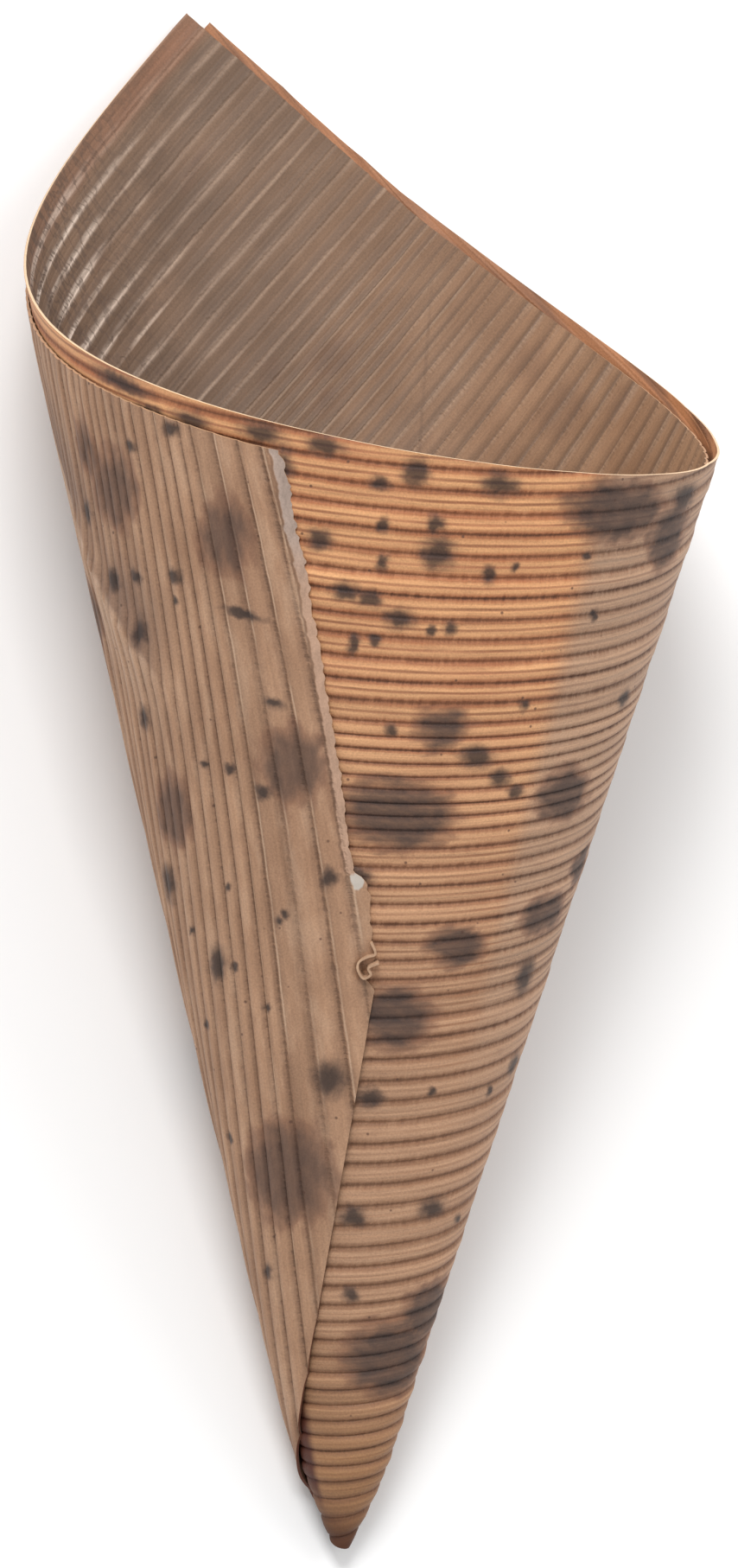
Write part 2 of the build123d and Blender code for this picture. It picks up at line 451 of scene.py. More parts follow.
x, y = flat_points.T
bent_x = x + edge_bend_x * np.array([edge_noise(a, b, 2.0) for a, b in flat_points])
bent_y = y + edge_bend_y * np.array([edge_noise(a, b, 9.0) for a, b in flat_points])
darkness = np.zeros(count)
for place_x, place_y, width, height in blotches + scattered:
    away = np.hypot((bent_x - place_x) / (width / 2), (bent_y - place_y) / (height / 2))
    cover = np.clip((1 + blotch_softness - away) / (2 * blotch_softness), 0, 1)
    darkness = np.maximum(darkness, cover * cover * (3 - 2 * cover))
point_value(slab_mesh, "blotch", twice(darkness))
print("points in blotches:", int((darkness > 0.5).sum()))

# %% [markdown]
# Node trees are easier to read as sums. A Value wraps one socket, and adding or multiplying
# two of them adds a Math node to the tree, for the winding of the leaf and for its material.


# %% A small language for node trees
def both_ways(operation):
    """An operator's two methods, for a Value on its left side and on its right."""
    def on_left(value, other):
        return value.graph.maths(operation, value, other)

    def on_right(value, other):
        return value.graph.maths(operation, other, value)

    return on_left, on_right


class Value:
    """A socket that can be used in sums."""

    __add__, __radd__ = both_ways("ADD")
    __sub__, __rsub__ = both_ways("SUBTRACT")
    __mul__, __rmul__ = both_ways("MULTIPLY")
    __truediv__, __rtruediv__ = both_ways("DIVIDE")
    __pow__, __rpow__ = both_ways("POWER")

    def __init__(self, graph, socket):
        self.graph, self.socket = graph, socket

    def __abs__(self):
        return self.graph.maths("ABSOLUTE", self, 0)


class Graph:
    """A node tree, with one method that makes any node and a few short names for common ones."""

    def __init__(self, tree):
        self.tree = tree

    def feed(self, socket, given):
        if isinstance(given, Value):
            self.tree.links.new(given.socket, socket)
        else:
            socket.default_value = given

    def node(self, kind, settings=None, inputs=None, output=0):
        made = self.tree.nodes.new(kind)
        for name, setting in (settings or {}).items():
            setattr(made, name, setting)
        for name, given in (inputs or {}).items():
            self.feed(made.inputs[name], given)
        self.last = made
        return Value(self, made.outputs[output])

    def maths(self, operation, a, b):
        return self.node("ShaderNodeMath", {"operation": operation}, {0: a, 1: b})

    def clamp(self, value):
        return self.node("ShaderNodeClamp", {}, {"Value": value, "Min": 0.0, "Max": 1.0})

    def rise(self, value, low, high):
        """0 below low, 1 above high and smooth between."""
        ends = {"Value": value, "From Min": low, "From Max": high}
        return self.node("ShaderNodeMapRange", {"interpolation_type": "SMOOTHSTEP"}, ends)

    def fall(self, value, low, high):
        """1 below low, 0 above high and smooth between."""
        return 1 - self.rise(value, low, high)

    def band(self, value, low, full, still, high):
        """1 from full to still, 0 below low and above high, and smooth between."""
        return self.rise(value, low, full) * self.fall(value, still, high)

    def vector(self, operation, a, b):
        return self.node("ShaderNodeVectorMath", {"operation": operation}, {0: a, 1: b})

    def scaled(self, a, scale):
        return self.node("ShaderNodeVectorMath", {"operation": "SCALE"}, {0: a, "Scale": scale})

    def length(self, vector):
        return self.node("ShaderNodeVectorMath", {"operation": "LENGTH"}, {0: vector}, "Value")

    def part(self, vector, axis):
        return self.node("ShaderNodeSeparateXYZ", {}, {0: vector}, axis)

    def join(self, a, b, c):
        return self.node("ShaderNodeCombineXYZ", {}, {0: a, 1: b, 2: c})

    def own_number(self, value):
        """A chance number from 0 to 1 for each whole number."""
        whole = self.maths("FLOOR", value, 0)
        return self.node("ShaderNodeTexWhiteNoise", {"noise_dimensions": "1D"}, {"W": whole})

    def noise(self, vector, scale, detail=2.0, roughness=0.5):
        """Soft noise about 0.5."""
        given = {"Vector": vector, "Scale": scale, "Detail": detail, "Roughness": roughness}
        return self.node("ShaderNodeTexNoise", {}, given)

    def tell(self, what):
        print("nodes up to", what + ":", len(self.tree.nodes))


# %% [markdown]
# A node tree winds the leaf up. Mesh code could do it too, but in a tree every size of the
# winding is a named input. For each flat point it takes the angle at the apex, reads the
# direction of that line from the guide, and walks along it by the point's distance from the
# apex. Each layer lies a step further out than the one under it.

# %% Inputs of the tree that winds the leaf
roll_tree = bpy.data.node_groups.new("roll_up_leaf", "GeometryNodeTree")
roll_tree.is_modifier = True
interface = roll_tree.interface
interface.new_socket(name="Geometry", in_out="OUTPUT", socket_type="NodeSocketGeometry")
interface.new_socket(name="Flat leaf", in_out="INPUT", socket_type="NodeSocketGeometry")
roll_lengths = {
    "Layer step": layer_step, "Bare thickness": 0.20, "Rib relief": 0.20, "Inner relief": 0.19,
    "Unevenness": 0.12, "Crease height": 0.60, "Torn droop": 0.10, "Tip edge droop": 0.26,
    "Pressed end": 0.22, "Tip pinch": 0.80,
}
roll_sizes = {
    "Turn guide": ("NodeSocketObject", guide),
    "Apex": ("NodeSocketVector", tuple(apex)),
    "Turn angle": ("NodeSocketFloat", full_turn),
    "Finish": ("NodeSocketMaterial", None),
}
roll_sizes |= {name: ("NodeSocketFloat", length) for name, length in roll_lengths.items()}
sockets = {
    name: interface.new_socket(name=name, in_out="INPUT", socket_type=kind).identifier
    for name, (kind, given) in roll_sizes.items()
}
roll = Graph(roll_tree)
group_in = roll_tree.nodes.new("NodeGroupInput")
asked = {name: Value(roll, group_in.outputs[name]) for name in roll_sizes}
print("winding tree:", len(asked), "inputs")


# %% Where a flat point goes on the wall
def stored(name):
    """A number that the flat leaf's points carry."""
    return roll.node("GeometryNodeInputNamedAttribute", {"data_type": "FLOAT"}, {"Name": name})


flat = roll.node("GeometryNodeInputPosition")
flat_x, flat_y = roll.part(flat, 0), roll.part(flat, 1)
distance = roll.length(flat)
laps = roll.maths("ARCTAN2", flat_x, flat_y) / asked["Turn angle"]
guide_line = roll.node("GeometryNodeObjectInfo", {}, {"Object": asked["Turn guide"]}, "Geometry")
direction = roll.node(
    "GeometryNodeSampleCurve", {"mode": "FACTOR"},
    {"Curves": guide_line, "Factor": roll.maths("FRACT", laps, 0)}, "Position")
tangent = Value(roll, roll.last.outputs["Tangent"])
outward = roll.vector("NORMALIZE", roll.vector("CROSS_PRODUCT", tangent, direction), (0, 0, 0))
roll.tell("the wall")

# %% [markdown]
# Each rib is a low pillow between two sharp grooves, and no two are equally high. They stand
# higher on the flap, and in the upper front each has a faint groove along its crest. Slow noise
# adds the unevenness of a dried sheet.

# %% Relief of the ribs
side, rib = stored("side"), stored("rib")
from_middle = abs(2 * roll.maths("FRACT", rib, 0) - 1)
pillow = 1 - from_middle ** 4
on_front = roll.fall(flat_x / flat_y, 0.5, 1.2)
own_relief = 0.55 + 0.6 * roll.own_number(rib)
own_relief = own_relief * (1.25 - 0.35 * roll.rise(flat_y, 12, 34) + 0.10 * roll.rise(flat_y, 34, 60))
own_relief = own_relief * (1.35 - 0.35 * on_front) * (1 - 0.55 * roll.rise(flat_x, 86.2, 88))
middle_groove = 0.3 * roll.rise(1 - from_middle, 0.55, 1.0) * on_front * roll.rise(flat_y, 36, 56)
rough_skin = 0.16 * (roll.noise(roll.join(flat_x * 0.5, flat_y, 4.0), 1.5, 2.0) - 0.5)
full_relief = asked["Rib relief"] * side + asked["Inner relief"] * (1 - side)
relief = (pillow * own_relief - middle_groove + rough_skin) * full_relief
slow = roll.noise(flat, 0.045, 1.0)
long_wave = roll.noise(roll.join(flat_x * 0.35, flat_y, 0.0), 0.13, 1.0)
uneven = asked["Unevenness"] * (slow - 0.5) + 0.6 * asked["Unevenness"] * (long_wave - 0.5)
roll.tell("the ribs")

# %% [markdown]
# The flap was bent once and kept a crease, which runs steeply across the ribs and fades out
# upwards. It is a ridge with a long slope on the left and a short one on the right.

# %% The crease in the flap
crease_from, crease_to = (67.9, 28.0), (75.8, 41.0)
crease_run = math.dist(crease_from, crease_to)
crease_x = (crease_to[0] - crease_from[0]) / crease_run
crease_y = (crease_to[1] - crease_from[1]) / crease_run
short_slope, long_slope = 1.6, -4.2


def beside_crease(x, y):
    """How far right of the crease's line a flat point lies."""
    return (x - crease_from[0]) * crease_y - (y - crease_from[1]) * crease_x


off_crease = beside_crease(flat_x, flat_y)
down_crease = (flat_x - crease_from[0]) * crease_x + (flat_y - crease_from[1]) * crease_y
on_crease = roll.band(down_crease, -6, 5, 0.6 * crease_run, 1.2 * crease_run)
off_ridge = roll.maths("MAXIMUM", off_crease / short_slope, off_crease / long_slope)
ridge = roll.clamp(1 - off_ridge) ** 1.5 * on_crease * asked["Crease height"]
print("crease:", round(crease_run, 1), "mm")

# %% [markdown]
# Some edges droop onto the layer under them: the torn edge, which is also thinner, the tip edge
# of the outer turn, and the outer end. The tip is pinched in. Nothing goes under the table.

# %% Edges that lie down, the tip and the table
torn_depth = stored("torn")
beside_tear = roll.rise(flat_x, tear_start - 4, tear_start + 1)
bare_strip = roll.fall(torn_depth, 0.45, 1.0) * beside_tear
torn_wave = 0.4 + 1.2 * roll.noise(roll.join(flat_x, 0.0, 0.0), 0.26, 1.0)
torn_droop = roll.fall(torn_depth, 0.0, 2.5) * beside_tear * asked["Torn droop"] * torn_wave
low_edge = roll.fall(flat_y - 0.0195 * flat_x, 5, 9) * roll.band(flat_x, 3, 10, 47, 50)
pressed = roll.rise(flat_x, 66, 85) * asked["Pressed end"]
pinch = roll.fall(distance, 4.5, 10.5) * asked["Tip pinch"]
thickness = side * asked["Bare thickness"] * (1 - 0.5 * bare_strip)
height = thickness + relief * (1 - 0.8 * bare_strip) + uneven + ridge + asked["Layer step"] * laps
height = height - torn_droop - low_edge * asked["Tip edge droop"] - pressed - pinch
walk = distance - 1.2 * pinch
lying = roll.vector("ADD", roll.scaled(direction, walk), roll.scaled(outward, height))
lying = roll.scaled(roll.vector("ADD", lying, asked["Apex"]), mm)
above_table = roll.maths("MAXIMUM", roll.part(lying, 2), 0.0)
lying = roll.join(roll.part(lying, 0), roll.part(lying, 1), above_table)

flat_leaf_in = Value(roll, group_in.outputs["Flat leaf"])
moved = roll.node("GeometryNodeSetPosition", {}, {"Geometry": flat_leaf_in, "Position": lying})
whole = roll.node("GeometryNodeRealizeInstances", {}, {"Geometry": moved})
finished = roll.node("GeometryNodeSetMaterial", {}, {"Geometry": whole, "Material": asked["Finish"]})
group_out = roll_tree.nodes.new("NodeGroupOutput")
roll_tree.links.new(finished.socket, group_out.inputs["Geometry"])
roll.tell("the whole roll")

# %% [markdown]
# The leaf's finish. Outside it is tan with dark thin grooves, and inside it is greyer, with painted
# highlights on its ribs. Highlights, shade and the glow of light through the leaf are painted into the
# colour as well. Cut and torn edges are pale. All of it is worked out on the flat leaf, one colour laid
# over another. The grooves come from the rib number, so colour and shape agree.

# %% The leaf material and its colours
def new_material(name):
    """A material with an empty node tree."""
    made = bpy.data.materials.new(name)
    made.use_nodes = True
    made.node_tree.nodes.clear()
    return made


def linear(colour):
    """A colour as it looks on a screen, from 0 to 255, for a colour socket."""
    if isinstance(colour, Value):
        return colour
    return (*[((c / 255 + 0.055) / 1.055) ** 2.4 for c in colour], 1.0)


def mixed(factor, a, b):
    """One colour over another."""
    made = skin.node("ShaderNodeMix", {"data_type": "RGBA", "clamp_factor": True}, {0: factor}, 2)
    for place, colour in ((6, a), (7, b)):
        skin.feed(skin.last.inputs[place], linear(colour))
    return made


def painted(colour, layers):
    """A colour with layers over it, each given as its cover and its own colour."""
    for cover, layer in layers:
        colour = mixed(cover, colour, layer)
    return colour


def times(colour, amount):
    """A colour made darker or lighter."""
    return skin.scaled(colour if isinstance(colour, Value) else linear(colour)[:3], amount)


def attribute(name, output="Fac"):
    """A value that the leaf's points carry."""
    return skin.node("ShaderNodeAttribute", {"attribute_name": name}, {}, output)


leaf_finish = new_material("dried_leaf")
skin = Graph(leaf_finish.node_tree)
rise, fall, band = skin.rise, skin.fall, skin.band
print("material:", leaf_finish.name)

# %% [markdown]
# Where a point lies decides its colour. The ratio of flat x to flat y grows round the cone, so it
# serves as an angle. Noise that is stretched along the ribs makes the fibres.

# %% Where a point lies on the leaf and on its rib
flat = attribute("flat", "Vector")
flat_x, flat_y = skin.part(flat, 0), skin.part(flat, 1)
slope_x, below_rim = flat_x / flat_y, rim_distance - flat_y
side = attribute("side")
outside = rise(side, 0.45, 0.55)
cut_edge = band(side, 0.02, 0.10, 0.90, 0.98)
on_flap = rise(slope_x, 0.8, 1.5)
on_front = 1 - on_flap
near_tip = fall(flat_y, 9.0, 27.0) * on_front
mottle = skin.noise(flat, 0.12, 3.0, 0.55)
grain = skin.noise(flat, 6.0, 3.0, 0.6)
waver = skin.noise(skin.join(flat_x * 0.25, flat_y, 0.0), 0.8, 2.0)
rib = attribute("rib") + 0.10 * (waver - 0.5)
across = skin.maths("FRACT", rib, 0)
near_groove = abs(2 * across - 1)
own_groove, own_rib = skin.own_number(rib + 0.5), skin.own_number(rib)
across_ribs = 1.5 * rib


def along_ribs(along, square, layer, detail, roughness=0.5):
    """Noise at one scale along the ribs and another square to them, different in each layer."""
    place = skin.join(flat_x * along, across_ribs * square, layer)
    return skin.noise(place, 1.0, detail, roughness)


broken = along_ribs(0.12, 0.9, 1.0, 3.0)
cracks = along_ribs(0.9, 0.45, 3.0, 2.0)
fibres = along_ribs(0.10, 5.0, 4.0, 4.0, 0.65)
teeth = along_ribs(2.8, 0.8, 6.0, 2.0, 0.6)
streaky = along_ribs(0.16, 0.6, 9.0, 4.0, 0.6)
skin.tell("the place")

# %% [markdown]
# The grooves are thin dark lines with toothed edges and a brown halo of painted shade, narrower on the
# flap and at the tip. The faint groove along a crest is left out where the ribs stand close.

# %% Grooves and crests
toothed = near_groove + 0.34 * (teeth - 0.5)
groove_begins = 0.72 + 0.11 * on_flap + 0.10 * near_tip
groove = rise(toothed, groove_begins, 1.02) * (0.70 + 0.5 * teeth)
# Painted shade: a soft brown band beside each groove, as if the groove were in shade.
groove_shade = rise(toothed, 0.25, 0.95) * (0.45 + 1.3 * (teeth - 0.20))
crest = rise(1 - near_groove, 0.20, 0.60)
close_ribs = band(flat_y - 0.14 * flat_x, 60.5, 62.0, 70.0, 71.5)
faint_groove = fall(near_groove, 0.02, 0.22) * (0.35 + 0.65 * rise(flat_y, 36.0, 56.0))
faint_groove = faint_groove * on_front * (1 - close_ribs)
skin.tell("the grooves")

# %% [markdown]
# Outside the leaf is tan and darker at the tip, with a painted grey sheen where it turns away on the right
# and a painted highlight on each crest. Light comes through the left part of the front, and that glow is
# painted as colour, which can be exported.

# %% The outer face
patches = rise(mottle, 0.30, 0.72)
glow = fall(slope_x, 0.036, 0.072) * rise(flat_y, 38.0, 86.0)
# Painted sheen: the front is made lighter and greyer where it turns away on the right.
painted_sheen = rise(slope_x, 0.038, 0.08) * on_front * rise(flat_y, 30.0, 60.0)
tan_leaf = painted(mixed(patches, (149, 111, 84), (169, 130, 101)), [
    (0.8 * near_tip, (128, 88, 57)),
    (0.7 * painted_sheen, (176, 146, 122)),
])
lit_leaf = mixed(patches, (172, 112, 78), (196, 138, 98))
# Painted highlight on the rib crests. It is brightest where the painted glow is and duller at the tip.
crest_highlight_colour = mixed(glow, mixed(near_tip, (194, 153, 122), (164, 121, 83)), (238, 180, 126))
crest_highlight = crest * (1 - faint_groove) * (0.15 + 0.9 * broken) * (1 - 0.6 * on_flap)
groove_shade_colour = mixed(on_flap, mixed(glow, (134, 92, 64), (156, 88, 48)), (128, 98, 78))
groove_depth = (0.50 + 0.45 * own_groove) * (0.62 + 0.6 * broken - 0.10 * on_flap)
low_front = on_front * fall(flat_y, 44.0, 60.0)
groove_depth = groove_depth * (0.80 + 0.20 * rise(flat_y, 34.0, 52.0) - 0.16 * low_front)
outer_skin = painted(mixed(glow, tan_leaf, lit_leaf), [
    (crest_highlight, crest_highlight_colour),
    (groove_shade * (0.70 - 0.22 * on_flap - 0.20 * near_tip), groove_shade_colour),
    (groove * groove_depth, mixed(on_flap, (78, 44, 26), (84, 57, 42))),
    (0.45 * faint_groove * rise(broken, 0.36, 0.64), (128, 80, 50)),
])
skin.tell("the outer face")

# %% [markdown]
# The flap is streaked along its ribs, with a painted highlight beside each groove. The crease has painted
# light on its left, painted shade on its right, and a painted highlight along the fold.

# %% The flap and its crease
off_crease = beside_crease(flat_x, flat_y)
on_crease = band(flat_y, 25.0, 31.0, 44.0, 52.0) * on_flap
# Painted light on the crease's left side and painted shade on its right side.
crease_lit_side = band(off_crease, -6.0, -1.0, -0.3, 0.1) * on_crease
crease_shaded_side = band(off_crease, 0.0, 0.5, 1.5, 8.0) * on_crease
# Painted highlight: a pale line beside each groove on the flap.
flap_ridge_highlight = band(across, 0.80, 0.87, 0.87, 0.94) * on_flap * rise(broken, 0.36, 0.60)
# Painted highlight along the fold of the crease.
fold_highlight = fall(abs(off_crease - 0.1), 0.0, 0.5) * on_crease * rise(broken, 0.40, 0.62)
outer_skin = painted(outer_skin, [
    (0.28 * on_flap * rise(streaky, 0.42, 0.70), (138, 107, 84)),
    (0.36 * on_flap * fall(streaky, 0.30, 0.55), (198, 164, 136)),
    (0.55 * crease_lit_side * rise(streaky, 0.35, 0.60), (196, 166, 142)),
    (crease_shaded_side * (0.25 + 0.5 * rise(mottle, 0.35, 0.65)), (112, 86, 72)),
    (0.65 * flap_ridge_highlight, (206, 174, 147)),
    (0.45 * fold_highlight, (196, 170, 150)),
])
skin.tell("the flap")

# %% [markdown]
# Inside, the back of each groove is a ridge with a painted highlight and painted shade on one side. Where
# the wall turns at the left the painted highlights are almost white, and the ridges are cracked across.
# Warm light that comes through at the rim is painted as an orange band and strip, and a fine dark line
# runs down where the inner end was folded.

# %% The inner face
inner_patches = rise(mottle, 0.30, 0.75)
inner_grey = mixed(inner_patches, (108, 84, 66), (131, 103, 82))
inner_warm = mixed(inner_patches, (150, 112, 83), (172, 133, 102))
left_turn = band(slope_x, -1.05, -0.62, -0.50, -0.20)
# Painted shade on one side of each inner ridge, and a painted highlight along the ridge, broken by noise.
inner_ridge_shade = band(across, 0.0, 0.10, 0.12, 0.62)
inner_ridge_highlight = rise(near_groove, 0.30 + 0.40 * own_groove, 0.97)
highlight_breaks = rise(broken, 0.42, 0.66)
# Painted glow: warm light coming through the leaf at the rim, as a reddish band and an orange strip.
rim_glow_inside = fall(below_rim, 1.7, 2.7) * rise(slope_x, -1.3, -0.95)
crack = fall(abs(cracks - 0.5), 0.006, 0.05) * left_turn
rim_glow_strip = fall(below_rim, 0.9, 1.6) * rise(flat_x, -4.0, 2.0)
rim_glow_colour = mixed(rise(broken, 0.30, 0.60), (124, 84, 58), (208, 140, 92))
fold_inside = fall(abs(slope_x + 1.40), 0.001, 0.007) * fall(flat_y, 58.0, 63.0)
inner_skin = painted(mixed(fall(slope_x, -1.75, -0.95), inner_grey, inner_warm), [
    (inner_ridge_shade * (0.15 + 0.8 * broken), (94, 72, 57)),
    (inner_ridge_highlight * skin.clamp(0.12 + 0.34 * highlight_breaks + 0.76 * left_turn * highlight_breaks),
     mixed(left_turn, (180, 152, 130), (228, 208, 192))),
    (rim_glow_inside * (1 - 0.6 * left_turn) * (0.75 - 0.45 * broken), (152, 102, 74)),
    (0.8 * crack, (92, 72, 60)),
    (rim_glow_strip * (0.75 - 0.35 * rise(flat_x, 25.0, 60.0)), rim_glow_colour),
    (fold_inside * (0.10 + 0.45 * broken), (108, 82, 64)),
])

leaf_colour = mixed(outside, inner_skin, outer_skin)
fibre_tone = (0.50 + 0.40 * outside - 0.45 * on_flap * outside) * (fibres - 0.5)
rib_tone = (0.16 - 0.05 * on_flap) * (own_rib - 0.5)
leaf_colour = times(leaf_colour, 1 + fibre_tone + 0.70 * (grain - 0.5) + rib_tone)
skin.tell("the inner face")

# %% [markdown]
# Blotches have a brown ring and a dark patchy middle, and the grooves stay darker still inside
# them. Each spot is an ellipse bent by noise. Specks as fine as dust come from a cell pattern
# that keeps a third of its cells.

# %% Blotches, spots and specks
blotch = attribute("blotch")
patchy = skin.noise(skin.join(flat_x * 0.7, flat_y * 1.6, 7.0), 0.9, 4.0, 0.6)
on_skin = 0.92 * outside + 0.18 * (1 - outside)
brown_ring = rise(blotch + 0.5 * (patchy - 0.5), 0.0, 0.35) * on_skin
stain = rise(blotch + 1.0 * (patchy - 0.5) * (1 - 0.4 * blotch), 0.05, 1.05)
stain = stain * (0.70 + 0.55 * patchy) * on_skin
stain_colour = mixed(groove, mixed(crest * 0.7, (58, 45, 41), (84, 66, 58)), (32, 23, 21))
stain_colour = times(stain_colour, 1 + 0.5 * (fibres - 0.5) + 0.5 * (grain - 0.5))

warp = skin.node("ShaderNodeTexNoise", {}, {"Vector": flat, "Scale": 1.1, "Detail": 2.0}, "Color")
bent = skin.vector("ADD", flat, skin.scaled(skin.vector("SUBTRACT", warp, (0.5, 0.5, 0.5)), 0.9))


def ellipse(x, y, width, height):
    """How far out a point lies from the middle of an ellipse, with 1 on its line."""
    away = skin.vector("SUBTRACT", bent, (x, y, 0))
    return skin.length(skin.vector("MULTIPLY", away, (2 / width, 2 / height, 0)))


nearest = ellipse(*spots[0])
for place in spots[1:]:
    nearest = skin.maths("MINIMUM", nearest, ellipse(*place))
spot = fall(nearest + 0.7 * (patchy - 0.5), 0.35, 1.40)
spot_colour = mixed(rise(nearest, 0.2, 1.0), (44, 34, 32), (70, 52, 46))

speck_cells = {"Vector": flat, "Scale": 0.75, "Randomness": 1.0}
from_speck = skin.node("ShaderNodeTexVoronoi", {}, speck_cells, "Distance")
speck_pick = skin.part(Value(skin, skin.last.outputs["Color"]), 0)
speck = fall(from_speck, 0.05, 0.12) * rise(speck_pick, 0.62, 0.70) * outside
leaf_colour = painted(leaf_colour, [
    (0.50 * brown_ring, times((122, 80, 60), 0.7 + 0.6 * broken)),
    (stain * (0.94 - 0.20 * on_flap), stain_colour),
    (0.96 * spot * on_skin, times(spot_colour, 0.60 + 0.80 * grain)),
    (0.75 * speck, (82, 54, 42)),
])
skin.tell("the spots")

# %% [markdown]
# The tip is stained dark brown, and the gap under the flap beside it is painted dark red-brown as deep
# shade. Along the tear the skin has come off, and pale ragged fibre shows, with a split behind it and one
# loose bit of pith. The cut edges are pale at the rim, and low at the tip they are painted dark as shade.

# %% The tip, the tear and the cut edges
from_tip = flat_y + 0.9 * slope_x * rise(slope_x, 0.0, 0.3)
tip_dark = fall(from_tip, 5.2, 8.8) * fall(abs(slope_x), 1.5, 4.0)
# Painted shade in the gap under the flap, beside the tip.
painted_shade_under_flap = fall(slope_x, -0.385, -0.31) * band(flat_y, 6.5, 9.0, 14.0, 18.0) * outside

torn_depth = attribute("torn")
on_tear = rise(flat_x, 56.4, 57.4) * outside
top_of_tear = rise(flat_x, 77.0, 83.0)
ragged = 0.36 + 0.22 * skin.noise(skin.join(flat_x, 0.0, 0.0), 0.7, 3.0) + 0.22 * top_of_tear
frayed = fall(torn_depth, ragged, ragged + 0.14) * on_tear
pale_fibre = mixed(top_of_tear, (190, 154, 130), (172, 152, 140))
pale_fibre = times(pale_fibre, 0.90 + 0.7 * (patchy - 0.40) + 0.5 * (grain - 0.5))
split = fall(abs(torn_depth - ragged - 0.16), 0.03, 0.12) * on_tear
loose_bit = fall(ellipse(56.9, 8.7, 1.5, 1.1), 0.8, 1.1)

# Painted shade on the cut edge low at the tip, where it lies in the gap's shadow.
painted_shade_low_cut = band(flat_x, 0.0, 6.0, 40.0, 48.0) * fall(flat_y, 8.0, 11.0)
at_rim = fall(below_rim, 0.6, 2.0)
cut_colour = mixed(at_rim, mixed(painted_shade_low_cut, (206, 164, 128), (92, 40, 25)), (240, 210, 172))
leaf_colour = painted(leaf_colour, [
    (0.92 * tip_dark, (70, 33, 12)),
    (0.95 * painted_shade_under_flap, (74, 32, 21)),
    (0.92 * frayed, pale_fibre),
    (0.5 * split, (104, 76, 58)),
    (0.9 * loose_bit * outside, (196, 188, 178)),
    (0.75 * cut_edge, times(cut_colour, 0.8 + 0.4 * grain)),
])
skin.tell("the edges")

# %% [markdown]
# The surface is dry and matte. The mesh carries the ribs, and a small bump adds only what is
# finer than the mesh: the toothed grooves, the fibres and the grain.

# %% The leaf's surface
def surfaced(material, colour, roughness, height, strength, depth, shine):
    """Finish a material with a colour, a roughness and a bump."""
    given = {"Strength": strength, "Distance": depth, "Height": height}
    bump = skin.node("ShaderNodeBump", {}, given, "Normal")
    given = {"Base Color": colour, "Roughness": roughness, "Normal": bump, "Specular IOR Level": shine}
    surface = skin.node("ShaderNodeBsdfPrincipled", {}, given)
    output = material.node_tree.nodes.new("ShaderNodeOutputMaterial")
    material.node_tree.links.new(surface.socket, output.inputs["Surface"])


ridges = 0.5 * (1 - groove) + 0.12 * (1 - faint_groove) + 0.14 * fibres + 0.10 * grain
roughness = 0.52 + 0.18 * fibres + 0.08 * stain
surfaced(leaf_finish, leaf_colour, roughness, ridges, 0.6, mm * 0.25, 0.4)
skin.tell("the whole leaf")

# %% [markdown]
# The modifier's inputs are set by their identifiers before anything evaluates it. The result
# becomes a plain mesh, because the exported model keeps no node trees.

# %% Wind the leaf up
flat_leaf = added("flat_leaf", slab_mesh)
winding = flat_leaf.modifiers.new("wind", "NODES")
winding.node_group = roll_tree
roll_sizes["Finish"] = ("NodeSocketMaterial", leaf_finish)
for name, (kind, given) in roll_sizes.items():
    winding[sockets[name]] = given
bpy.context.view_layer.update()
evaluated = flat_leaf.evaluated_get(bpy.context.evaluated_depsgraph_get())
leaf_mesh = bpy.data.meshes.new_from_object(evaluated)
leaf_mesh.name = "rolled_leaf_sheet"
leaf_piece = added("rolled_leaf_sheet", leaf_mesh)
for helper in (flat_leaf, guide):
    bpy.data.objects.remove(helper)
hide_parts("rolled_leaf")
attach(leaf_piece, "root")
leaf_mesh.calc_loop_triangles()
print("rolled leaf:", len(leaf_mesh.vertices), "points,", len(leaf_mesh.loop_triangles), "triangles")

# %% [markdown]
# Where the tear begins, a narrow strip of the leaf has curled up into a hook that stands on
# edge. A smooth path through a few flat points is wound up as the leaf is and swept with a thin
# upright section, which is simplest as a short loop of mesh code.

# %% The curl at the start of the tear
curl_points = [
    (52.4, 6.9), (51.6, 6.45), (51.25, 7.0), (50.75, 7.5), (50.15, 7.45),
    (49.6, 6.95), (50.0, 6.5), (50.5, 6.75), (51.0, 6.1),
]
curl_steps, curl_thickness = 8, 0.16
curl_low, curl_high, first_height = -0.12, 0.75, 0.6


def smooth_path(points, steps):
    """A smooth line through points, and its sideways direction all along."""
    padded = np.array([points[0], *points, points[-1]])
    line = []
    for before, start, end, after in zip(padded, padded[1:], padded[2:], padded[3:]):
        for t in np.arange(steps) / steps:
            square = (2 * before - 5 * start + 4 * end - after) * t ** 2
            cube = (3 * start - 3 * end + after - before) * t ** 3
            line.append(0.5 * (2 * start + (end - before) * t + square + cube))
    line = np.array(line + [padded[-1]])
    heading = np.gradient(line, axis=0)
    heading /= np.linalg.norm(heading, axis=1)[:, None]
    return line, np.stack([-heading[:, 1], heading[:, 0]], 1)


